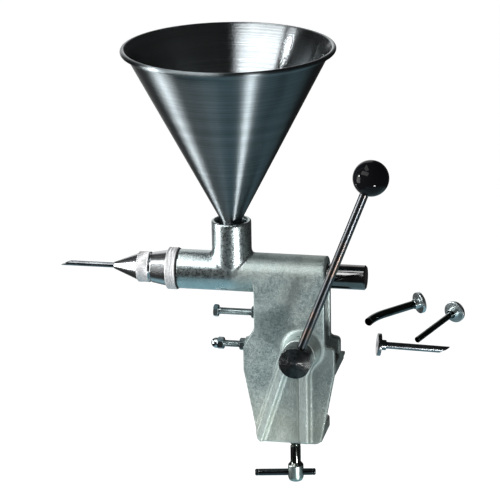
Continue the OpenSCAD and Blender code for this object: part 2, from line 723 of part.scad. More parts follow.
module pressure_pad() color("#8d9499") seated() at_screw() translate([0, 0, pad_top]) difference() {
    rotate_extrude() polygon([
        [0, 0], [pad_r - chamfer, 0], [pad_r, -chamfer], [pad_r, -pad_t / 2],
        [ball_r + 2 * pad_skin, -pad_t], [0, -pad_t]]);
    translate([0, 0, -ball_drop]) sphere(r = ball_r + ball_play, $fn = 48);
    translate([0, 0, -pad_t - over]) cylinder(h = pad_t - ball_drop + over, r = ball_mouth_r);
}

module clamp_spindle() color("#8b9094") seated() at_screw() difference() {
    union() {
        translate([0, 0, pad_top - ball_drop]) sphere(r = ball_r, $fn = 48);
        translate([0, 0, spindle_top - chamfer])
            cylinder(h = pad_t - ball_drop + 2 * chamfer, r = ball_neck_r);
        rotate_extrude() polygon([
            [0, spindle_top], [spindle_d / 2 - chamfer, spindle_top],
            [spindle_d / 2, spindle_top - chamfer], [spindle_d / 2, -spindle_head_drop],
            [spindle_head_d / 2 - chamfer, -spindle_head_drop],
            [spindle_head_d / 2, -spindle_head_drop - chamfer],
            [spindle_head_d / 2, -spindle_head_drop - spindle_head_len + 2 * chamfer],
            [spindle_head_d / 2 - 2 * chamfer, -spindle_head_drop - spindle_head_len],
            [0, -spindle_head_drop - spindle_head_len]]);
    }
    translate([0, 0, -bar_drop]) rotate([0, 0, bar_turn])
        bar_x(-spindle_head_d, spindle_head_d, bar_d / 2 + run_gap);
}

module tommy_bar() color("#8b9094") seated() at_screw() translate([0, 0, -bar_drop])
    rotate([0, 0, bar_turn]) revolve_x([
        [0, bar_off - bar_len / 2], [bar_d / 2 - chamfer, bar_off - bar_len / 2],
        [bar_d / 2, bar_off - bar_len / 2 + chamfer], [bar_d / 2, bar_off + bar_len / 2 - chamfer],
        [bar_d / 2 - chamfer, bar_off + bar_len / 2], [0, bar_off + bar_len / 2]]);

// A nozzle lies on the front edge of its flange and on the end of its tube
module lying(place, aim, d, len) {
    tilt = atan((flange_d - d) / 2 / len);
    translate([place.x, place.y, flange_d / 2 * cos(tilt) + flange_t * sin(tilt)])
        rotate([0, tilt, aim]) children();
}

module spare_nozzle_short() color("#4e5358") lying(short_at, short_aim, short_d, short_len)
    nozzle_body(short_d, tube_wall, short_len, 0);

module spare_nozzle_straight() color("#8b9094") lying(straight_at, straight_aim, straight_d, straight_len)
    rotate([180, 0, 0]) nozzle_body(straight_d, tube_wall, straight_len, straight_bevel);

// The curved tube is a straight run and a bend that meet on one flat section
module spare_nozzle_curved() color("#3c4145")
    lying(curved_at, curved_aim, curved_d, curved_run + curved_bend_r * sin(curved_bend)) {
        nozzle_body(curved_d, curved_wall, curved_run, 0);
        translate([flange_t + curved_run, curved_bend_r, 0]) rotate([0, 0, -90])
            rotate_extrude(angle = curved_bend) translate([curved_bend_r, 0]) difference() {
                circle(d = curved_d);
                circle(d = curved_d - 2 * curved_wall);
            }
    }

housing();
front_bush();
rear_bush();
lever_shaft();
lever_rod();
ball_knob();
crank_arm();
arm_pin();
thrust_washers();
shaft_circlip();
plunger();
plunger_ring();
hopper();
hopper_seal();
barrel_gasket();
reducer();
nozzle_seal();
nozzle();
union_nut();
upper_stop_screw();
upper_lock_nut();
lower_stop_stud();
lower_lock_nut();
dome_nut();
jaw_pad();
pressure_pad();
clamp_spindle();
tommy_bar();
spare_nozzle_curved();
spare_nozzle_short();
spare_nozzle_straight();
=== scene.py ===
from math import cos, pi, radians, sin

import bmesh
import bpy
import numpy as np
from mathutils import Matrix, Vector


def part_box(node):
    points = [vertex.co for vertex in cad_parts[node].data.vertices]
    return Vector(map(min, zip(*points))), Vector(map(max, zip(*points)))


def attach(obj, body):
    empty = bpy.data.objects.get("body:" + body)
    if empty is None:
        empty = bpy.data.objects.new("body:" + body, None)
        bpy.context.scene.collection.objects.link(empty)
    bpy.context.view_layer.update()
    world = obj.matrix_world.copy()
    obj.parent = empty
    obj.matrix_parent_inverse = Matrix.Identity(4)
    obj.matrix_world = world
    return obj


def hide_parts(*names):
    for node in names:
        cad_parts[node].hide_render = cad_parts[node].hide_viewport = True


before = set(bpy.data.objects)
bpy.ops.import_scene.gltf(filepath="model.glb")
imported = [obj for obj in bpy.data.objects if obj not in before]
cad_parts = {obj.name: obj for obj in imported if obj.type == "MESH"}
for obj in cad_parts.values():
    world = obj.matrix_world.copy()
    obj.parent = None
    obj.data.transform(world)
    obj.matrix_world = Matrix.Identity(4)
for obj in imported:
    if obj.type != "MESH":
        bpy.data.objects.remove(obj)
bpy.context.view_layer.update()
scene = bpy.context.scene

# Where the machine stands. The hopper's axis crosses the barrel's axis at one point, and everything that is
# turned or bored in this machine is measured from it: X runs to the rear of the barrel, Y away from the
# operator, Z up. The table's top surface is at height zero.
rearwards, away, up = Vector((1, 0, 0)), Vector((0, 1, 0)), Vector((0, 0, 1))


def middle(node):
    """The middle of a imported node's box."""
    low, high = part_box(node)
    return (low + high) / 2


crossing = Vector((middle("hopper").x, *middle("plunger").yz))

# The photographer's place: a long lens from the operator's side, a little to the rear of the machine and
# above it, with the camera leaning by one degree. The two pixels say where the crossing of the axes lies.
camera_turn, camera_rise, camera_lean = radians(12.05), radians(18.2), radians(1.0)
camera_distance = 3.043
lens_pixels = 2700.0
picture = 500
crossing_pixel = (232.3, 271.0)
sensor, far_clip = 36.0, 60.0


def in_scene(name, data):
    """A new object from its data, linked into the scene."""
    thing = bpy.data.objects.new(name, data)
    scene.collection.objects.link(thing)
    return thing


side = Vector((cos(camera_turn), sin(camera_turn), 0))
back = Vector((sin(camera_turn) * cos(camera_rise), -cos(camera_turn) * cos(camera_rise), sin(camera_rise)))
head = back.cross(side)
camera_right = side * cos(camera_lean) - head * sin(camera_lean)
camera_up = side * sin(camera_lean) + head * cos(camera_lean)
offset = [(crossing_pixel[0] - picture / 2) * camera_distance / lens_pixels,
          (picture / 2 - crossing_pixel[1]) * camera_distance / lens_pixels]
camera = in_scene("camera", bpy.data.cameras.new("camera"))
camera.data.sensor_width = sensor
camera.data.lens = lens_pixels * sensor / picture
camera.data.clip_end = far_clip
stand = crossing + back * camera_distance - camera_right * offset[0] - camera_up * offset[1]
camera.matrix_world = Matrix([[*row] for row in zip(camera_right, camera_up, back, stand)] + [[0, 0, 0, 1]])
scene.camera = camera

# The room: a white sweep of paper stands behind the machine and lies under it, and the rest of the room is
# dark. The camera sees white all round, metal shows the paper and the dark room, and diffuse light is even.
# A pair of numbers says where a change over the surface begins and where it is complete.
table_height, floor_half = 0.9, 30.0
dark_room, near_paper, full_white = (0.03, 0.03, 0.03), (0.36, 0.58, 0.66), (1, 1, 1)
room_level = 0.42
bright_side = (-0.36, 0.933, 0)
sweep_edge, sweep_top = (0.93, 0.99), (0.6, 0.8)


class Socket:
    """An output of a shader node. Python's operators on it add Math nodes, so 1 - mask is a socket too."""

    def __init__(self, tree, output=None):
        self.tree = tree
        self.output = output

    def node(self, kind, settings=None, sockets=None, out=0):
        """Adds a node, gives it its settings, then its sockets' values or links, and returns one output."""
        made = self.tree.nodes.new("ShaderNode" + kind)
        for name, value in (settings or {}).items():
            setattr(made, name, value)
        for name, value in (sockets or {}).items():
            if isinstance(value, Socket):
                self.tree.links.new(value.output, made.inputs[name])
            elif isinstance(value, tuple) and len(value) == 3 and made.inputs[name].type == "RGBA":
                made.inputs[name].default_value = (*value, 1)
            else:
                made.inputs[name].default_value = value
        return Socket(self.tree, made.outputs[out] if made.outputs else None)

    def maths(self, operation, *values):
        """A Math node."""
        return self.node("Math", {"operation": operation}, dict(enumerate(values)))

    def vector(self, operation, *values, out=0):
        """A Vector Math node. A dot product or a length comes from output 1."""
        return self.node("VectorMath", {"operation": operation}, dict(enumerate(values)), out)

    def scaled(self, vector, factor):
        """A vector times a number."""
        return self.node("VectorMath", {"operation": "SCALE"}, {0: vector, "Scale": factor})

    def component(self, index):
        """X, Y or Z of a vector."""
        return self.node("SeparateXYZ", sockets={0: self}, out=index)

    def __add__(self, other):
        return self.maths("ADD", self, other)

    def __sub__(self, other):
        return self.maths("SUBTRACT", self, other)

    def __mul__(self, other):
        return self.maths("MULTIPLY", self, other)

    def __truediv__(self, other):
        return self.maths("DIVIDE", self, other)

    def __rsub__(self, other):
        return self.maths("SUBTRACT", other, self)

    __radd__, __rmul__ = __add__, __mul__

    def between(self, low, high):
        """0 below low, 1 above high, and eased between them."""
        return self.node("MapRange", {"interpolation_type": "SMOOTHERSTEP"},
                         {"Value": self, "From Min": low, "From Max": high})

    def bump(self, strength, distance=0.0001):
        """The surface's normal over this socket as a height, which stands up by distance in metres."""
        return self.node("Bump", None, {"Strength": strength, "Distance": distance, "Height": self})

    def light(self, kind, colour, strength=1.0):
        """Light of one colour, as a Background or Emission shader."""
        return self.node(kind, sockets={"Color": colour, "Strength": strength})

    def mix(self, first, second):
        """The first colour where this socket is 0 and the second where it is 1."""
        return self.node("Mix", {"data_type": "RGBA"}, {0: self, 6: first, 7: second}, out=2)


world = bpy.data.worlds.new("room")
scene.world = world
world.use_nodes = True
world.node_tree.nodes.clear()
room = Socket(world.node_tree)
heading = room.node("TexCoord", out=0)
height = heading.component(2)
flat = room.vector("NORMALIZE", room.vector("MULTIPLY", heading, (1, 1, 0)))
behind = room.vector("DOT_PRODUCT", flat, bright_side, out=1)
reflected = (behind.between(*sweep_edge) * (1 - height.between(*sweep_top))).mix(dark_room, full_white)
by_camera, by_glossy = room.node("LightPath"), room.node("LightPath", out=3)
by_glass = room.node("LightPath", out=6)
even = room.light("Background", full_white, room_level)
mirrored = room.light("Background", reflected)
seen = room.light("Background", full_white)
lit = room.node("MixShader", sockets={0: by_glossy, 1: even, 2: mirrored})
room.node("OutputWorld", sockets={0: room.node("MixShader", sockets={0: by_camera + by_glass, 1: lit, 2: seen})})

# The floor: the sweep's paper. Metal shows it pale blue-green near the foot, white further back and dark past
# its reach. On the left it is cut short, which leaves the dark band in the outlet's cones. The camera sees it
# white from above, and doesn't see it from below.
paper_reach = 1.05
white_from, white_edge = (0.6, 2.0), (0.90, 0.99)
cut_bearing, cut_from = (0.36, 0.56), (0.7, 1.0)
paper_seen, paper_glow, paper_bounce = (0.5, 0.5, 0.5), 0.8, (0.4, 0.4, 0.4)

floor_mesh = bpy.data.meshes.new("floor")
floor_mesh.from_pydata([(x * floor_half, y * floor_half, -table_height)
                        for x, y in ((-1, -1), (1, -1), (1, 1), (-1, 1))], [], [(0, 1, 2, 3)])
floor = in_scene("floor", floor_mesh)
paper = bpy.data.materials.new("floor_paper")
paper.use_nodes = True
paper.node_tree.nodes.clear()
pale = Socket(paper.node_tree)
level = pale.vector("MULTIPLY", pale.node("TexCoord", out=3), (1, 1, 0))
from_foot = pale.vector("LENGTH", level, out=1)
never_zero = from_foot + 0.001
backwards = pale.vector("DOT_PRODUCT", level, bright_side, out=1)
past = backwards.between(*white_from) * (backwards / never_zero).between(*white_edge)
leftwards = pale.vector("DOT_PRODUCT", level, (-1, 0, 0), out=1)
beside = (leftwards / never_zero).between(*cut_bearing) * from_foot.between(*cut_from)
near = (1 - from_foot.between(paper_reach, paper_reach * 2)) * (1 - beside)
diffuse = pale.node("BsdfDiffuse", sockets={"Color": paper_seen})
glow = pale.light("Emission", full_white, paper_glow)
bright = pale.node("AddShader", sockets={0: diffuse, 1: glow})
paper_tone = past.mix(near.mix(dark_room, near_paper), full_white)
shade = pale.light("Emission", paper_tone)
plain = pale.node("BsdfDiffuse", sockets={"Color": paper_bounce})
by_camera, by_glossy = pale.node("LightPath"), pale.node("LightPath", out=3)
top = pale.node("MixShader", sockets={0: by_glossy, 1: plain, 2: shade})
top = pale.node("MixShader", sockets={0: by_camera, 1: top, 2: bright})
clear = pale.node("BsdfTransparent")
under = pale.node("NewGeometry", out=6)
pale.node("OutputMaterial", sockets={0: pale.node("MixShader", sockets={0: under, 1: top, 2: clear})})
floor_mesh.materials.append(paper)

# Two round lamps give the knob its two lights, one from the left and one from low on the right. A wide panel
# in front and above and a narrower one overhead draw the bands on everything round that lies along the barrel,
# and a panel far to the left lights the left side of the spout and of the outlet's cones.


def softbox(name, azimuth, rise, distance, wide, tall, power, shape="ELLIPSE"):
    """A lamp that faces the crossing of the axes, its place given by two angles and a distance. Azimuth runs
    from straight in front towards the rear end of the barrel."""
    turn, lift = radians(azimuth), radians(rise)
    aim = Vector((sin(turn) * cos(lift), -cos(turn) * cos(lift), sin(lift)))
    lamp = in_scene(name, bpy.data.lights.new(name, "AREA"))
    lamp.data.shape = shape
    lamp.data.size, lamp.data.size_y = wide, tall
    lamp.data.energy = power
    lamp.location = crossing + aim * distance
    lamp.rotation_mode = "QUATERNION"
    lamp.rotation_quaternion = aim.to_track_quat("Z", "Y")
    lamp.visible_camera = False


softbox("left_lamp", -70, 20, 1.4, 0.25, 0.25, 14)
softbox("right_lamp", 39, -24, 1.4, 0.23, 0.23, 12)
softbox("front_panel", -34, 46, 1.4, 1.2, 0.52, 10, "RECTANGLE")
softbox("overhead_panel", -70, 74, 1.4, 1.1, 0.42, 5, "RECTANGLE")
softbox("left_panel", -70, 0, 1.3, 0.7, 0.72, 12, "RECTANGLE")

# The casting: barrel, spout, neck, clamp plate and both jaws are one sand casting in aluminium. Barrel and
# spout are dressed bright and the ribs' faces fettled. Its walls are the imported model's own, drawn over with
# a fine even net whose corners are worn round, as the sand leaves them.
shaft_low, shaft_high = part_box("lever_shaft")
pivot = Vector((middle("lever_shaft").x, 0, middle("lever_shaft").z))
cast_net, weld = 0.00127, 1e-6
wear_steps, wear_share = 6, 0.5
plate_front, rib_height = -0.0225, 0.003
spout_dressed, barrel_dressed = (0.0230, 0.0262), (0.0229, 0.0254)
spout_foot, neck_start = (0.004, 0.012), (-0.006, 0.022)
clamp_top, jaw_top = (-0.07, -0.05), (-0.20, -0.10)
boss_edge, rib_depth, recess_shade_depth = (0.021, 0.024), (-0.014, -0.010), (-0.010, 0.0)
plate_shade_along, plate_shade_height = (0.052, 0.082), (-0.09, -0.03)


def shader_of(material):
    """The material's Principled shader."""
    return next(node for node in material.node_tree.nodes if node.type == "BSDF_PRINCIPLED")


def finish_of(name, **shader):
    """A new material with one Principled shader. Its sockets that vary over the surface are joined later."""
    material = bpy.data.materials.new(name)
    material.use_nodes = True
    for socket, value in shader.items():
        socket = socket.replace("_", " ").title().replace("Ior", "IOR")
        shader_of(material).inputs[socket].default_value = value
    return material, Socket(material.node_tree)


def join(material, **sockets):
    """Joins the outputs that vary over the surface to the shader's sockets."""
    for name, value in sockets.items():
        material.node_tree.links.new(value.output, shader_of(material).inputs[name.replace("_", " ").title()])


def grain_at(surface, stretch=(1, 1, 1), centre=(0, 0, 0)):
    """Object coordinates from a centre, in metres, stretched along each axis."""
    moved = surface.vector("SUBTRACT", surface.node("TexCoord", out=3), tuple(centre))
    return surface.vector("MULTIPLY", moved, stretch)


def noise(surface, place, scale, detail=3.0, roughness=0.55):
    """Blender's cloud noise at a place."""
    return surface.node("TexNoise", None, {"Vector": place, "Scale": scale, "Detail": detail,
                                           "Roughness": roughness})


def rings_by(surface, distance, scale, detail, roughness=0.5):
    """Noise that only changes with one distance, as the rings of a lathe tool do."""
    return surface.node("TexNoise", {"noise_dimensions": "1D"}, {"W": distance, "Scale": scale, "Detail": detail,
                                                                 "Roughness": roughness})


def casting_piece():
    """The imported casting, its doubles merged, wrapped by a net of even squares and eased at its corners."""
    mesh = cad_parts["housing"].data.copy()
    mesh.materials.clear()
    work = bmesh.new()
    work.from_mesh(mesh)
    bmesh.ops.remove_doubles(work, verts=work.verts, dist=weld)
    work.to_mesh(mesh)
    work.free()
    rough = in_scene("rough_casting", mesh)
    net = rough.modifiers.new("net", "REMESH")
    net.mode, net.voxel_size = "VOXEL", cast_net
    wear = rough.modifiers.new("wear", "SMOOTH")
    wear.factor, wear.iterations = wear_share, wear_steps
    bpy.context.view_layer.update()
    done = bpy.data.meshes.new_from_object(rough.evaluated_get(bpy.context.evaluated_depsgraph_get()))
    bpy.data.objects.remove(rough)
    done.name = "casting"
    done.shade_smooth()
    return in_scene("casting", done)


def about(surface, centre, axis):
    """Distance along an axis from a centre, distance from the axis, and the direction away from the axis."""
    place = grain_at(surface, centre=centre)
    along = surface.vector("DOT_PRODUCT", place, tuple(axis), out=1)
    across = surface.vector("SUBTRACT", place, surface.scaled(tuple(axis), along))
    return along, surface.vector("LENGTH", across, out=1), surface.vector("NORMALIZE", across)


def cast_aluminium():
    """Grey metal, cloudy and speckled. The barrel and the spout are dressed with emery, so they shine more than
    the neck and the clamp, which stay as the sand left them, stained brown. The clamp plate's right part is
    darkened with painted shade, and so are the recesses behind the plate and the creases; the ribs' flanks
    get painted shade on the left and a faint painted highlight on the right.
    The pairs of places are metres from the crossing of the axes, and for the boss from its own axis."""
    material, surface = finish_of("cast_aluminium")
    place = grain_at(surface, centre=crossing)
    clouds = noise(surface, place, 34.0, 3.0, 0.6).between(0.3, 0.7)
    mottle = noise(surface, place, 380.0, 3.0, 0.75).between(0.32, 0.68)
    sand = noise(surface, place, 900.0, 2.0, 0.6).between(0.3, 0.7)
    stain = noise(surface, place, 17.0, 2.0, 0.5).between(0.48, 0.70)
    height, from_spout, _ = about(surface, crossing, up)
    along, from_barrel, _ = about(surface, crossing, rearwards)
    on_spout = (1 - from_spout.between(*spout_dressed)) * height.between(*spout_foot)
    on_barrel = (1 - from_barrel.between(*barrel_dressed)) * (1 - along.between(*neck_start))
    dressed = on_spout.maths("MAXIMUM", on_spout, on_barrel)
    low, below = 1 - height.between(*jaw_top), 1 - height.between(*clamp_top)
    depth = place.component(1)
    face = surface.node("NewGeometry", out=1)
    sideways, facing = face.component(0), face.component(1)
    _, from_boss, _ = about(surface, pivot, away)
    raised = below * from_boss.between(*boss_edge) * (1 - depth.between(*rib_depth))
    recess_shade = depth.between(*recess_shade_depth) * (0 - facing).between(0.5, 0.8) * below
    fettled = plate_front - rib_height
    proud = 1 - depth.between(fettled - 0.001, fettled + 0.001)
    plate_shade = along.between(*plate_shade_along) * (1 - height.between(*plate_shade_height))
    crease_shade = 1 - surface.node("NewGeometry", out=7).between(0.43, 0.49)
    flank = raised * sideways.maths("ABSOLUTE", sideways).between(0.15, 0.5)
    tone = clouds * 0.40 + mottle * 0.25 + sand * 0.35
    colour = tone.mix((0.16, 0.22, 0.22), (0.54, 0.62, 0.60))
    colour = (low * 0.6).mix(colour, (0.80, 0.84, 0.74))
    colour = (stain * (1 - dressed) * (low * 0.5 + 0.2)).mix(colour, (0.38, 0.40, 0.34))
    colour = (dressed * 0.45).mix(colour, (0.62, 0.68, 0.70))
    # Painted shade: the clamp plate's right part is darkened.
    colour = (plate_shade * 0.6).mix(colour, (0.17, 0.20, 0.19))
    colour = (proud * 0.35).mix(colour, (0.70, 0.78, 0.74))
    # Painted shade: front faces that lie behind the clamp plate are made nearly black.
    colour = (recess_shade * 0.9).mix(colour, (0.03, 0.04, 0.04))
    # Painted shade on the ribs' flanks that face left, and a faint painted highlight on those that face right.
    colour = (raised * (0 - sideways).between(0.25, 0.6) * 0.55).mix(colour, (0.05, 0.07, 0.07))
    colour = (raised * sideways.between(0.25, 0.6) * 0.1).mix(colour, (0.80, 0.90, 0.84))
    # Painted shade: creases, where the surface is hollow, are darkened.
    colour = (crease_shade * 0.6).mix(colour, (0.06, 0.07, 0.07))
    bump = ((sand + mottle) * (0.5 - dressed * 0.30)).bump(0.8, 0.00014)
    join(material, base_color=colour, normal=bump, metallic=dressed * 0.15 + 0.85,
         roughness=0.44 - dressed * 0.20 + mottle * 0.12 + flank * 0.2)
    return material


casting = casting_piece()
casting.data.materials.append(cast_aluminium())
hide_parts("housing")
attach(casting, "base")

# The hopper: a cone spun from steel sheet on a lathe, with a rolled rim and a spigot that drops into the
# spout. Spinning leaves fine rings round it, and they draw every light out into a streak down the cone.
hopper_low, hopper_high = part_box("hopper")
sheet = 0.0012
rim = 0.0056
rim_seam = 0.65 * rim
collar_radius, collar_drop = 0.0165, 0.008
tube_radius = 0.0118
flare_drop, flare_out = 0.009, 0.0046
spout_height = 0.061
mouth = crossing.z + spout_height


def lathe(start, axis, along, radius, turns=96, spoke=None):
    """Rings about an axis: ring i lies along[i] from start and radius[i] out, at even steps of the turn.
    Both may also be given for each point of a ring."""
    axis = Vector(axis).normalized()
    first = Vector(spoke) if spoke else axis.orthogonal().normalized()
    second = axis.cross(first)
    turn = np.arange(turns) * 2 * pi / turns
    along = np.broadcast_to(np.reshape(along, (len(along), -1)), (len(along), turns))
    radius = np.broadcast_to(np.reshape(radius, (len(radius), -1)), (len(radius), turns))
    out = np.cos(turn)[:, None] * np.array(first) + np.sin(turn)[:, None] * np.array(second)
    return np.array(start) + along[..., None] * np.array(axis) + radius[..., None] * out


def outline(corners, ease=0.0004, steps=4):
    """Columns along and radius through the corners, each inner corner swapped for a quadratic curve that
    leaves it ease before and joins it ease after, or half the edge where that is shorter."""
    corners = np.array(corners, float)
    share = np.linspace(0, 1, steps + 1)[:, None]
    path = [corners[:1]]
    for before, corner, after in zip(corners, corners[1:], corners[2:]):
        arms = [point - corner for point in (before, after)]
        lengths = [max(np.linalg.norm(arm), 1e-9) for arm in arms]
        leave, meet = [corner + arm * min(ease, length / 2) / length for arm, length in zip(arms, lengths)]
        path.append(leave * (1 - share) ** 2 + corner * 2 * share * (1 - share) + meet * share ** 2)
    path.append(corners[-1:])
    return np.concatenate(path).T


def skin(name, rings, body, slot, material, nodes, hollow=False, crease=32):
    """A closed surface over rings of points. A solid one gets a flat fan at each end, and a hollow one joins
    its last ring to its first."""
    rows, turns = rings.shape[:2]
    row = np.arange(rows if hollow else rows - 1)[:, None]
    column = np.arange(turns)[None, :]
    onward, beside = (row + 1) % rows, (column + 1) % turns
    quads = np.stack([row * turns + column, row * turns + beside, onward * turns + beside,
                      onward * turns + column], -1).reshape(-1, 4).tolist()
    points = rings.reshape(-1, 3)
    fans = []
    if not hollow:
        points = np.concatenate([points, [rings[0].mean(0), rings[-1].mean(0)]])
        ring, last = np.arange(turns), (rows - 1) * turns
        beside = (ring + 1) % turns
        fans = np.stack([beside, ring, np.full(turns, rows * turns)], -1).tolist()
        fans += np.stack([last + ring, last + beside, np.full(turns, rows * turns + 1)], -1).tolist()
    mesh = bpy.data.meshes.new(name)
    mesh.from_pydata(points.tolist(), [], quads + fans)
    work = bmesh.new()
    work.from_mesh(mesh)
    bmesh.ops.recalc_face_normals(work, faces=work.faces)
    work.to_mesh(mesh)
    work.free()
    mesh.shade_smooth()
    mesh.set_sharp_from_angle(angle=radians(crease))
    mesh.materials.append(material)
    piece = in_scene(name, mesh)
    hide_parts(*nodes)
    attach(piece, body)
    return piece


def hopper_rings():
    """The sheet's outline turned about the upright axis: outlet tube and its collar, cone, flare and rolled
    rim outside, then back down inside. The rim is part of a ring, from the flare's end round to the inside."""
    rim_middle = hopper_high.x - crossing.x - rim / 2
    rim_height = hopper_high.z - mouth - rim / 2
    rim_seat = hopper_high.x - crossing.x - rim_seam
    flare_foot = rim_height + rim / 2 - flare_drop
    foot = hopper_low.z - mouth
    roll = np.linspace(radians(-52), radians(232), 30)
    rolled = np.stack([rim_height - rim / 2 * np.cos(roll), rim_middle + rim / 2 * np.sin(roll)])
    outside = outline([
        (foot, tube_radius - sheet), (foot, collar_radius - 0.0005), (foot + 0.0005, collar_radius),
        (-collar_drop - 0.0005, collar_radius), (-collar_drop, collar_radius - 0.0005),
        (-collar_drop, tube_radius), (0.0, tube_radius), (flare_foot, rim_seat - flare_out),
        (rim_height - rim * 0.2, rim_seat - 0.0006)], 0.0024, 6)
    inside = outline([
        (rim_height + rim * 0.25, rim_seat - sheet), (flare_foot + 0.0006, rim_seat - flare_out - sheet),
        (sheet / 3, tube_radius - sheet), (foot + 0.0004, tube_radius - sheet)], 0.0024, 6)
    path = np.concatenate([outside, rolled, inside], 1)
    return lathe((crossing.x, crossing.y, mouth), up, *path, turns=192)


def spun_steel():
    """Dark steel with the spinning tool's rings, fine and broad, and a few stains. Inside it is painted lighter,
    which is painted light.
    """
    material, surface = finish_of("spun_steel", metallic=1.0, anisotropic=1.0, anisotropic_rotation=0.25)
    place = grain_at(surface, centre=(crossing.x, crossing.y, mouth))
    rings = rings_by(surface, place.component(2), 900.0, 4.0, 0.75)
    broad = rings_by(surface, place.component(2), 120.0, 2.0)
    stain = noise(surface, place, 22.0, 3.0, 0.6)
    tone = rings * 0.6 + broad * 0.2 + stain * 0.2
    outwards = about(surface, crossing, up)[2]
    inside = 1 - surface.vector("DOT_PRODUCT", surface.node("NewGeometry", out=1), outwards,
                                out=1).between(-0.3, 0.3)
    colour = tone.between(0.3, 0.7).mix((0.13, 0.15, 0.16), (0.24, 0.27, 0.28))
    # Painted light: the inside takes a lighter copy of the colour.
    colour = inside.mix(colour, tone.between(0.3, 0.7).mix((0.20, 0.22, 0.23), (0.38, 0.41, 0.42)))
    join(material, base_color=colour, roughness=0.33 + rings * 0.14 - inside * 0.2,
         normal=rings.bump(0.25, 0.0002))
    return material


skin("spun_hopper", hopper_rings(), "hopper", "hopper_steel", spun_steel(), ["hopper"], hollow=True)

# The lever: a shaft with a round head, turned from bright bar, and a rod that is screwed into the head and
# carries a pressed plastic ball. The head's end face keeps the rings of the lathe tool, which fan each light
# out from the centre.
head_radius = (shaft_high.x - shaft_low.x) / 2
head_length = 0.024
shaft_radius = 0.008
turned_edge = 0.0009
tool_rings, spoke_share = 30000.0, (1, 1, 0.75)


def leaning(surface, spoke, amount):
    """The surface's normal, leaned along the spoke by an amount."""
    lean = surface.scaled(spoke, amount)
    return surface.vector("NORMALIZE", surface.vector("ADD", surface.node("NewGeometry", out=1), lean))


def turned_steel(name, dark, bright, axis, centre, tilt, rough):
    """Steel with the rings of the lathe tool round an axis. Each ring leans the surface a little in or out
    along its own spoke, by a noise of the distance from the axis, so lights fan out over a flat end. The
    rings are too fine to be seen one by one, and they lean less up and down than to the sides."""
    material, surface = finish_of(name, metallic=1.0, roughness=rough)
    _, reach, spoke = about(surface, centre, axis)
    rings = rings_by(surface, reach, tool_rings, 2.0, 0.8)
    spoke = surface.vector("MULTIPLY", spoke, spoke_share)
    tone = rings * 0.5 + noise(surface, grain_at(surface), 160.0) * 0.5
    join(material, base_color=tone.between(0.3, 0.7).mix(dark, bright),
         normal=leaning(surface, spoke, (rings - 0.5) * tilt))
    return material


head_face = Vector((pivot.x, shaft_low.y, pivot.z))
head_steel = turned_steel("turned_head", (0.006, 0.008, 0.010), (0.17, 0.175, 0.175), away, head_face, 2.2, 0.27)
shaft_outline = outline([
    (0.0, 0.0017), (0.0, head_radius - 0.0003), (0.0004, head_radius), (head_length, head_radius),
    (head_length, shaft_radius), (shaft_high.y - shaft_low.y, shaft_radius)], turned_edge)
skin("turned_shaft", lathe(head_face, away, *shaft_outline, turns=128), "lever",
     "turned_steel", head_steel, ["lever_shaft"])

knob_low, knob_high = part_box("ball_knob")
rod_low, rod_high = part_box("lever_rod")
rod_plane = (rod_low.y + rod_high.y) / 2
rod_radius = (rod_high.y - rod_low.y) / 2
knob_radius = (knob_high.y - knob_low.y) / 2
knob_middle = Vector((knob_high.x - knob_radius, rod_plane, knob_high.z - knob_radius))
foot_of_rod = Vector((pivot.x, rod_plane, pivot.z))
lever_line = (knob_middle - foot_of_rod).normalized()
lever_length = (knob_middle - foot_of_rod).length
rod_in_head, rod_in_knob = 0.012, 0.014
knob_foot = 0.47 * 2 * knob_radius
rod_start, rod_end = head_radius - rod_in_head, lever_length - knob_foot + rod_in_knob


def drawn_steel(name, dark, bright, rough, line, tint):
    """Drawn bar, dark, with faint lines along it and a tint of old oil in patches."""
    material, surface = finish_of(name, metallic=1.0)
    place = grain_at(surface)
    along = surface.vector("DOT_PRODUCT", place, tuple(line), out=1)
    squeezed = surface.vector("SUBTRACT", place, surface.scaled(tuple(line), along * 0.97))
    lines = noise(surface, squeezed, 500.0, 2.0, 0.6)
    oil = noise(surface, place, 30.0, 3.0, 0.6).between(0.5, 0.75)
    colour = oil.mix(lines.between(0.3, 0.7).mix(dark, bright), tint)
    join(material, base_color=colour, roughness=lines * 0.12 + (rough - 0.06))
    return material


rod_outline = outline([(rod_start, rod_radius - 0.0006), (rod_start + 0.0006, rod_radius),
                       (rod_end - 0.0006, rod_radius), (rod_end, rod_radius - 0.0006)], 0.0002)
rod_steel = drawn_steel("drawn_rod", (0.04, 0.045, 0.05), (0.08, 0.085, 0.09), 0.30, lever_line,
                        (0.12, 0.08, 0.06))
skin("drawn_rod", lathe(foot_of_rod, lever_line, *rod_outline, turns=48), "lever", "rod_steel", rod_steel,
     ["lever_rod"])


def pressed_plastic():
    """Black thermoset, pressed and polished, with a few fine scuffs."""
    material, surface = finish_of("black_ball", ior=1.2)
    place = grain_at(surface)
    scuffs = noise(surface, place, 260.0, 5.0, 0.75).between(0.55, 0.8)
    colour = scuffs.mix((0.004, 0.004, 0.005), (0.008, 0.008, 0.009))
    join(material, base_color=colour, roughness=0.06 + scuffs * 0.04)
    return material


flat_edge = 26
flat_at, flat_radius = -knob_radius * cos(radians(flat_edge)), knob_radius * sin(radians(flat_edge))
ball = np.linspace(radians(180 - flat_edge), radians(2), 48)
ball_outline = np.concatenate([
    outline([(flat_at + 0.0006, rod_radius - 0.0002), (flat_at - 0.0002, rod_radius + 0.0012),
             (flat_at, flat_radius - 0.001)], 0.0006),
    np.stack([knob_radius * np.cos(ball), knob_radius * np.sin(ball)])], 1)
skin("pressed_ball", lathe(knob_middle, lever_line, *ball_outline), "lever", "knob_plastic",
     pressed_plastic(), ["ball_knob"], crease=40)

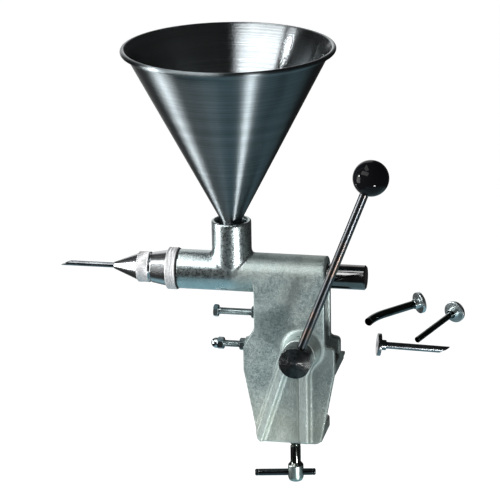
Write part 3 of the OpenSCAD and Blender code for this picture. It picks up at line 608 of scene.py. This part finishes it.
# The outlet: a reducer screwed into the barrel and a union nut on its thread, both turned and polished to a
# cone in front of a grip ring. The grip rings are finely cross-knurled and then blasted, so they look chalky.
nut_low, nut_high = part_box("union_nut")
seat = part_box("barrel_gasket")[0].x
reducer_ring, nut_ring = 0.0115, 0.014
knurl_margin, knurl_depth = 0.0012, 0.0005
turns_per_groove = 4


def with_rows(path, rows):
    """The outline with more rings put in at the given places, after the first point of its largest radius."""
    along, radius = path
    start = int(np.argmax(radius)) + 1
    return np.stack([np.insert(along, start, rows), np.insert(radius, start, np.full(len(rows), radius.max()))])


def grip_piece(start, path, rows, ring, count):
    """A closed outline turned about the barrel's axis, forwards from a start. Its first ring length is a grip:
    two sets of V-grooves cross it, count of each, so it is covered in little points. A groove's wave is the
    distance from the nearest whole number of turn plus and of turn minus the place along, in grooves."""
    reach, radius = with_rows(path, rows)
    turns = count * turns_per_groove
    turn = np.arange(turns) * count / turns
    step = reach[:, None] * count / (2 * pi * radius.max())
    wave = np.minimum(abs((turn + step) % 1 - 0.5), abs((turn - step) % 1 - 0.5)) * 2
    inside = ((reach > knurl_margin) & (reach < ring - knurl_margin))[:, None]
    radius = radius[:, None] - knurl_depth * (1 - wave) * inside
    return lathe((start, crossing.y, crossing.z), -rearwards, reach, radius, turns)


reducer_grip_end, reducer_grip_radius = (-0.0118, -0.0112), (0.0215, 0.022)
nut_grip_start, nut_grip_end, nut_grip_radius = (-0.0332, -0.0328), (-0.0462, -0.0456), (0.0160, 0.0162)


def polished_metal():
    """Turned and polished nickel-white metal on the cones, chalky where the place is a grip ring's."""
    material, surface = finish_of("outlet_metal", metallic=1.0)
    place = grain_at(surface, centre=(seat, crossing.y, crossing.z))
    reach = surface.vector("LENGTH", surface.vector("MULTIPLY", place, (0, 1, 1)), out=1)
    along = place.component(0)
    on_reducer = along.between(*reducer_grip_end) * reach.between(*reducer_grip_radius)
    on_nut = along.between(*nut_grip_end) * (1 - along.between(*nut_grip_start))
    on_nut = on_nut * reach.between(*nut_grip_radius)
    grip = on_reducer + on_nut
    rings = rings_by(surface, along, 2200.0, 3.0)
    speck = noise(surface, place, 700.0, 3.0, 0.7)
    polished = rings.between(0.3, 0.7).mix((0.46, 0.48, 0.49), (0.62, 0.64, 0.65))
    chalky = speck.between(0.3, 0.7).mix((0.50, 0.51, 0.52), (0.72, 0.715, 0.72))
    join(material, base_color=grip.mix(polished, chalky),
         roughness=0.16 + rings * 0.12 + grip * 0.30, metallic=1 - grip * 0.30)
    return material


outlet_metal = polished_metal()
plug_length, plug_radius, reducer_bore = 0.0137, 0.01795, 0.014
cone_end = 0.030
thread_end = cone_end + 0.0090
reducer_outline = outline([
    (-plug_length, reducer_bore), (-plug_length, plug_radius), (0, plug_radius), (0, 0.0235), (0.0005, 0.024),
    (reducer_ring - 0.001, 0.024), (reducer_ring, 0.023), (reducer_ring, 0.0208), (cone_end - 0.0002, 0.0175),
    (cone_end, 0.0160), (cone_end, reducer_bore), (thread_end - 0.001, reducer_bore), (thread_end, 0.0130),
    (thread_end, 0.005), (cone_end, 0.005)], 0.0005, 3)
grip_rows = np.linspace(0.001, reducer_ring - 0.0015, 16)
reducer_rings = grip_piece(seat, reducer_outline, grip_rows, reducer_ring, 105)
skin("reducer_cone", reducer_rings, "base", "outlet_metal", outlet_metal, ["reducer"], hollow=True)

nut_length, nut_thread, nut_thread_end = nut_high.x - nut_low.x, 0.01405, 0.0125
nut_outline = outline([
    (0.0, nut_thread), (0.0, 0.0170), (0.0005, 0.0175), (nut_ring - 0.001, 0.0175), (nut_ring, 0.0165),
    (nut_ring, 0.01575), (nut_length - 0.0002, 0.004), (nut_length, 0.0034), (nut_length - 0.003, 0.0033),
    (nut_thread_end, 0.011), (nut_thread_end, nut_thread)], 0.0004, 3)
grip_rows = np.linspace(0.001, nut_ring - 0.0016, 18)
nut_rings = grip_piece(nut_high.x, nut_outline, grip_rows, nut_ring, 80)
skin("nut_cone", nut_rings, "union_nut", "outlet_metal", outlet_metal, ["union_nut"], hollow=True)

# The fitted nozzle: a tube pressed through a turned flange that the union nut holds. The tube's end is cut off
# at an angle, so that it goes into the pastry like a needle.
flange_radius, flange_length = 0.013, 0.0045
hub_radius, hub_length = 0.006, 0.006
thin_wall = 0.0006
needle_cut, cut_run = 0.013, 0.02
tube_turns = 72


def nozzle_rings(radius, wall, length, bevel=0.0):
    """Flange, hub and tube turned about X from the flange's back, out and back through the bore. The tube's
    end slides back by bevel times (1 + height over radius) / 2, which is a flat cut at an angle, and the rings
    over the last cut_run share that slide evenly."""
    bore = radius - wall
    shoulder = max(hub_radius, radius + wall)
    full = flange_length + length
    path = outline([
        (0.0, bore + 0.0004), (0.0, flange_radius), (flange_length, flange_radius), (flange_length, shoulder),
        (flange_length + hub_length, shoulder), (flange_length + hub_length, radius),
        (flange_length + hub_length + 0.002, radius)], 0.0007)
    run = np.linspace(path[0][-1], full, 48)[1:]
    along = np.concatenate([path[0], run, run[::-1], [0.0]])
    out = np.concatenate([path[1], np.full(len(run), radius), np.full(len(run), bore), [bore]])
    height = np.cos(np.arange(tube_turns) * 2 * pi / tube_turns)
    share = np.clip((along - full) / cut_run + 1, 0, 1)[:, None]
    slid = along[:, None] - share * bevel * (1 + height[None, :] * out[:, None] / radius) / 2
    return lathe((0, 0, 0), rearwards, slid, out, tube_turns, up)


def tube_metal(name, dark, bright, rough, flange=None):
    """Polished metal with a thin film of handling. Where the piece's own "flange" attribute is 1, it has the
    flange's colour instead."""
    material, surface = finish_of(name, metallic=1.0)
    film = noise(surface, grain_at(surface), 60.0, 3.0, 0.5).between(0.35, 0.7)
    colour = film.mix(dark, bright)
    rough = film * 0.06 + rough
    if flange:
        on_flange = surface.node("Attribute", {"attribute_name": "flange"}, out=2)
        colour = on_flange.mix(colour, flange)
        rough = on_flange * 0.2 + rough
    join(material, base_color=colour, roughness=rough)
    return material


def mark_flange(piece, rings):
    """Marks the points of a nozzle whose ring lies on the flange or the hub."""
    along = rings[..., 0].reshape(-1)
    marks = np.zeros(len(piece.data.vertices), dtype=np.float32)
    marks[:len(along)] = along < flange_length + hub_length
    piece.data.attributes.new("flange", "FLOAT", "POINT").data.foreach_set("value", marks)


nozzle_low, nozzle_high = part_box("nozzle")
bright_tube = tube_metal("nozzle_tube", (0.15, 0.16, 0.17), (0.24, 0.26, 0.27), 0.20)
fitted = nozzle_rings(0.003, thin_wall, nozzle_high.x - nozzle_low.x - flange_length, needle_cut)
fitted = np.array([nozzle_high.x, crossing.y, crossing.z]) + fitted * np.array([-1, 1, 1])
skin("fitted_nozzle", fitted, "nozzle", "nozzle_steel", bright_tube, ["nozzle"], hollow=True)

# The stop screws: a hexagon screw above and a stud with a dome nut below, M8, zinc plated, each held by a
# lock nut against the casting.
across_flats, chamfer, face_share = 0.013, 0.001, 0.97
corner_share = 2 / 3 ** 0.5
screw_radius, screw_pitch, screw_depth = 0.004, 0.00125, 0.00055
screw_head, screw_tip = 0.0055, 0.001
nut_bore, countersink, countersink_radius = 0.00405, 0.0007, 0.0049
around, stud_around = 96, 48


def thread(along, turns, crest, pitch, depth, start, end):
    """Radius of a right-hand thread: from the crest it falls by depth, as a triangle wave of the distance
    along less the turn's share of a pitch. It fades out within a pitch of its start and its end."""
    wave = abs((along[:, None] / pitch - np.arange(turns) / turns) % 1 - 0.5) * 2
    fade = np.clip((along - start) / pitch, 0, 1) * np.clip((end - along) / pitch, 0, 1)
    return crest - depth * wave * fade[:, None]


def hexagon(along, start, end):
    """Radius of a hexagon with corners on the spoke, cut by a cone at both faces: the lesser of half the
    width across flats over the cosine of the angle from the middle of the flat, and the cone's radius."""
    angle = (np.arange(around) * 2 * pi / around) % (pi / 3) - pi / 6
    flat = across_flats / 2 / np.cos(angle)
    depth = np.clip(np.minimum(along - start, end - along), 0, chamfer) / chamfer
    cone = across_flats / 2 * (face_share + depth * (corner_share - face_share))
    return np.minimum(flat[None, :], cone[:, None])


def hexagon_run(start, end):
    """Places along a hexagon, close together in its two chamfers."""
    return np.concatenate([np.linspace(start, start + chamfer, 5), np.linspace(end - chamfer, end, 5)])


def plain_rings(turns, *radii):
    """Round rings of the given radii, to stand beside threaded or hexagonal ones."""
    return np.repeat(np.reshape(radii, (-1, 1)), turns, 1)


def small_part(name, node, body, slot, material, along, out, **finish):
    """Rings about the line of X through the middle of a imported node, from its front end rearwards."""
    low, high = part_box(node)
    rings = lathe((low.x, crossing.y, (low.z + high.z) / 2), rearwards, along, out, out.shape[1], up)
    skin(name, rings, body, slot, material, [node], **finish)


def length_of(node):
    """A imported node's length along X."""
    low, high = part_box(node)
    return high.x - low.x


def plated(name, dark, bright, rough, grip):
    """Zinc plating: a little cloudy, with a fine speck that barely stands up."""
    material, surface = finish_of(name, metallic=1.0)
    speck = noise(surface, grain_at(surface), 420.0, 2.0, 0.5)
    cloud = noise(surface, grain_at(surface), 60.0, 3.0, 0.6)
    tone = (speck * 0.5 + cloud * 0.5).between(0.35, 0.65)
    join(material, base_color=tone.mix(dark, bright), roughness=cloud * 0.16 + (rough - 0.08),
         normal=speck.bump(grip))
    return material


zinc = plated("zinc_plated", (0.24, 0.28, 0.29), (0.44, 0.49, 0.50), 0.30, 0.03)
bright_plated = plated("bright_plated", (0.42, 0.47, 0.48), (0.58, 0.63, 0.64), 0.15, 0.02)

upper_length = length_of("upper_stop_screw")
head_run = hexagon_run(0.0, screw_head)
thread_run = np.arange(screw_head + 0.0002, upper_length - screw_tip, screw_pitch / 8)
upper_out = np.concatenate([
    plain_rings(around, across_flats / 2 * 0.9), hexagon(head_run, 0.0, screw_head),
    thread(thread_run, around, screw_radius, screw_pitch, screw_depth, screw_head + 0.002, upper_length),
    plain_rings(around, screw_radius - 0.0002, screw_radius - 0.001)])
small_part("hexagon_screw", "upper_stop_screw", "upper_stop", "screw_steel", zinc,
           np.concatenate([[0.0], head_run, thread_run, [upper_length - screw_tip, upper_length]]), upper_out,
           crease=25)

lower_length = length_of("lower_stop_stud")
thread_run = np.arange(0.0010, lower_length - screw_tip, screw_pitch / 8)
lower_out = np.concatenate([
    plain_rings(stud_around, screw_radius - 0.001),
    thread(thread_run, stud_around, screw_radius, screw_pitch, screw_depth, -0.002, lower_length),
    plain_rings(stud_around, screw_radius - 0.0002, screw_radius - 0.001)])
small_part("threaded_stud", "lower_stop_stud", "lower_stop", "screw_steel", zinc,
           np.concatenate([[0.0], thread_run, [lower_length - screw_tip, lower_length]]), lower_out)

for name, node in (("upper_nut", "upper_lock_nut"), ("lower_nut", "lower_lock_nut")):
    length = length_of(node)
    run = hexagon_run(0.0, length)
    nut_out = np.concatenate([plain_rings(around, countersink_radius), hexagon(run, 0.0, length),
                              plain_rings(around, countersink_radius, nut_bore, nut_bore)])
    small_part(name, node, "base", "nut_steel", zinc,
               np.concatenate([[0.0], run, [length, length - countersink, countersink]]), nut_out,
               hollow=True, crease=25)

dome_length, dome_hexagon, dome_radius, dome_bore = length_of("dome_nut"), 0.007, 0.0062, 0.009
run = hexagon_run(dome_length - dome_hexagon, dome_length)
arch = np.linspace(radians(4), radians(90), 20)
dome_along = np.concatenate([dome_radius * (1 - np.cos(arch)), [dome_length - dome_hexagon - 0.0002], run,
                             [dome_length, dome_length - dome_bore]])
dome_out = np.concatenate([
    plain_rings(around, *dome_radius * np.sin(arch), dome_radius),
    hexagon(run, dome_length - dome_hexagon, dome_length), plain_rings(around, screw_radius, screw_radius)])
small_part("dome_nut_body", "dome_nut", "lower_stop", "dome_steel", bright_plated, dome_along, dome_out,
           crease=25)

# The clamp screw: a turned spindle with a coarse thread, whose ball end swivels in the pressure pad. A tommy
# bar slides through a cross hole in its head.
spindle_low, spindle_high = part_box("clamp_spindle")
screw_line = Vector((*middle("clamp_spindle").xy, spindle_high.z))
ball_radius, ball_neck, spindle_radius, spindle_head_radius = 0.0045, 0.003, 0.006, 0.009
spindle_pitch, spindle_depth = 0.003, 0.0013
spindle_length = spindle_high.z - spindle_low.z
spindle_shoulder, spindle_head_length, plain_shank = 0.0095, 0.023, 0.020


def spindle_rings():
    """Ball, neck, threaded shank, plain shank and head turned about the screw's axis, from the top down. The
    thread is cut half as deep again and then kept from going below its depth, which gives it flat roots."""
    reach = np.linspace(radians(4), radians(138), 16)
    ball_part = np.stack([ball_radius * (1 - np.cos(reach)), ball_radius * np.sin(reach)])
    head_start = spindle_length - spindle_head_length
    shank = np.arange(spindle_shoulder + 0.001, head_start - plain_shank, spindle_pitch / 12)
    foot = outline([
        (head_start - plain_shank + 0.001, spindle_radius), (head_start, spindle_radius),
        (head_start + 0.0036, spindle_head_radius), (spindle_length - 0.0040, spindle_head_radius),
        (spindle_length - 0.0006, spindle_head_radius - 0.0014), (spindle_length, spindle_head_radius - 0.003)],
        0.0008)
    along = np.concatenate([ball_part[0], [spindle_shoulder, spindle_shoulder], shank, foot[0]])
    cut = thread(shank, around, spindle_radius, spindle_pitch, spindle_depth * 1.5, spindle_shoulder - 0.003,
                 head_start - plain_shank + 0.002)
    out = np.concatenate([plain_rings(around, *ball_part[1], ball_neck, spindle_radius - 0.001),
                          np.maximum(cut, spindle_radius - spindle_depth), plain_rings(around, *foot[1])])
    return lathe(screw_line, -up, along, out, around)


def spindle_finish():
    """Dark oiled steel with streaks down the shank, and a head that is satin from the lathe."""
    material, surface = finish_of("spindle_steel", metallic=1.0)
    place = grain_at(surface, (1, 1, 0.04), screw_line)
    streaks = noise(surface, place, 700.0, 2.0, 0.6)
    height, _, _ = about(surface, (screw_line.x, screw_line.y, spindle_low.z), up)
    on_head = 1 - height.between(spindle_head_length - 0.0034, spindle_head_length - 0.003)
    colour = streaks.between(0.35, 0.65).mix((0.07, 0.075, 0.07), (0.20, 0.22, 0.20))
    colour = on_head.mix(colour, streaks.between(0.35, 0.65).mix((0.32, 0.38, 0.36), (0.44, 0.52, 0.49)))
    join(material, base_color=colour, roughness=on_head * 0.20 + streaks * 0.08 + 0.14)
    return material


skin("turned_spindle", spindle_rings(), "clamp_spindle", "clamp_steel", spindle_finish(), ["clamp_spindle"])

bar_turn = radians(11)
bar_line = Vector((cos(bar_turn), sin(bar_turn), 0))
bar_radius, half_bar = 0.004, 0.035
bar_groove = half_bar - 0.0035
bar_end = [
    (half_bar, bar_radius - 0.0012), (half_bar - 0.0010, bar_radius), (bar_groove, bar_radius),
    (bar_groove - 0.0003, bar_radius - 0.0003), (bar_groove - 0.0008, bar_radius - 0.0003),
    (bar_groove - 0.0011, bar_radius)]
bar_outline = outline([(-along, radius) for along, radius in bar_end] + bar_end[::-1], 0.0003)
dark_bar = drawn_steel("dark_bar", (0.04, 0.045, 0.05), (0.09, 0.10, 0.10), 0.2, bar_line, (0.03, 0.03, 0.03))
skin("sliding_bar", lathe(middle("tommy_bar"), bar_line, *bar_outline, turns=48), "tommy_bar", "bar_steel",
     dark_bar, ["tommy_bar"])

pad_low, pad_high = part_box("pressure_pad")
pad_radius, pad_length = (pad_high.x - pad_low.x) / 2, pad_high.z - pad_low.z
face_rings, face_groove, first_ring, ring_step = 5, 0.0002, 0.15, 0.07
pad_outline = outline(
    [(face_groove * (step % 2), pad_radius * (first_ring + ring_step * step)) for step in range(2 * face_rings)]
    + [(0.0, pad_radius - 0.001), (0.001, pad_radius), (pad_length / 2, pad_radius), (pad_length, 0.0075)],
    0.0003, 2)

# The pad's ball seat. It is a fifth of a millimetre larger than the spindle's ball and reaches past the ball's
# middle, so the ball turns in it and lifts the pad with it.
seat_radius = ball_radius + 0.0002
seat_depth = pad_high.z - spindle_high.z + ball_radius
seat_turn = np.linspace(np.arccos((pad_length - seat_depth) / seat_radius), radians(176), 16)
ball_seat = np.stack([seat_depth + seat_radius * np.cos(seat_turn), seat_radius * np.sin(seat_turn)])
skin("swivel_pad", lathe((screw_line.x, screw_line.y, pad_high.z), -up,
                         *np.concatenate([pad_outline, ball_seat], 1)),
     "pressure_pad", "clamp_steel", zinc, ["pressure_pad"])

# The spare nozzles lie loose on the table: a curved one and a short one for filling from above, dark from
# long use, and a second straight one whose bevel faces down.
curved_radius, curved_wall, short_radius, straight_radius = 0.005, 0.0008, 0.0036, 0.004
curved_run, curved_bend, curved_arc = 0.0469, 0.045, radians(36.3)
short_reach, straight_reach = 0.082, 0.0795


def lying(rings, place, aim, radius, reach):
    """Rings about X tilted and turned so that the flange's front edge and the tube's end touch the table."""
    tilt = np.arctan((flange_radius - radius) / reach)
    height = flange_radius * cos(tilt) + flange_length * sin(tilt)
    turned = Matrix.Rotation(radians(aim), 3, "Z") @ Matrix.Rotation(tilt, 3, "Y")
    return rings @ np.array(turned).T + np.array([place[0], place[1], height])


def bent(rings, start, bend_radius):
    """Rings about X, carried past start along an arc towards Y: a point that lies s past start goes round by
    s over the radius, and keeps its distance from the tube's middle."""
    past = np.clip(rings[..., 0] - start, 0, None)
    angle = past / bend_radius
    straight = rings[..., 0] - past
    reach = bend_radius - rings[..., 1]
    return np.stack([straight + reach * np.sin(angle), bend_radius - reach * np.cos(angle), rings[..., 2]], -1)


dark_tube = tube_metal("dark_tube", (0.045, 0.055, 0.055), (0.10, 0.115, 0.115), 0.10, (0.50, 0.56, 0.57))
curved_rings = bent(nozzle_rings(curved_radius, curved_wall, curved_run + curved_bend * curved_arc),
                    flange_length + curved_run, curved_bend)
curved_lying = lying(curved_rings, (0.1162, 0.2004), 219.3, curved_radius,
                     curved_run + curved_bend * sin(curved_arc))
short_rings = nozzle_rings(short_radius, thin_wall, short_reach)
short_lying = lying(short_rings, (0.1612, 0.1753), 246.5, short_radius, short_reach)
for name, node, rings, laid in (
        ("curved_nozzle", "spare_nozzle_curved", curved_rings, curved_lying),
        ("short_nozzle", "spare_nozzle_short", short_rings, short_lying)):
    mark_flange(skin(name, laid, "base", "spare_steel_dark", dark_tube, [node], hollow=True), rings)
straight_rings = nozzle_rings(straight_radius, thin_wall, straight_reach, needle_cut) * np.array([1, -1, -1])
skin("straight_nozzle", lying(straight_rings, (0.0875, 0.0472), 13.9, straight_radius, straight_reach), "base",
     "spare_steel_bright", bright_tube, ["spare_nozzle_straight"], hollow=True)

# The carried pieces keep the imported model's own shapes and get their materials here: bronze bearings, the
# milled crank arm with its pin and circlip, the ground plunger, and the rubber of seals and jaw pad.


def carried(material, *nodes):
    """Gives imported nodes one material."""
    for name in nodes:
        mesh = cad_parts[name].data
        mesh.materials.clear()
        mesh.materials.append(material)


def plain_metal(name, dark, bright, rough):
    """Metal from the machine or the spring winder, with a fine even speck."""
    material, surface = finish_of(name, metallic=1.0)
    speck = noise(surface, grain_at(surface), 420.0, 4.0, 0.65)
    join(material, base_color=speck.between(0.3, 0.7).mix(dark, bright),
         roughness=speck * 0.2 + (rough - 0.1), normal=speck.bump(0.15))
    return material


def black_rubber():
    """Moulded black rubber, matt and faintly mottled."""
    material, surface = finish_of("black_rubber")
    speck = noise(surface, grain_at(surface), 600.0, 4.0, 0.6)
    colour = speck.between(0.3, 0.7).mix((0.012, 0.012, 0.013), (0.03, 0.03, 0.032))
    join(material, base_color=colour, roughness=speck * 0.3 + 0.5)
    return material


carried(plain_metal("bearing_bronze", (0.42, 0.28, 0.12), (0.62, 0.44, 0.22), 0.4), "front_bush", "rear_bush",
        "thrust_washers")
carried(plain_metal("milled_steel", (0.25, 0.26, 0.27), (0.45, 0.46, 0.47), 0.38), "crank_arm")
carried(plain_metal("spring_steel", (0.05, 0.05, 0.05), (0.12, 0.12, 0.12), 0.4), "arm_pin", "shaft_circlip")
carried(black_rubber(), "plunger_ring", "hopper_seal", "barrel_gasket", "nozzle_seal", "jaw_pad")
carried(tube_metal("ground_plunger", (0.13, 0.13, 0.13), (0.18, 0.18, 0.18), 0.09), "plunger")

scene.view_settings.view_transform = "Standard"
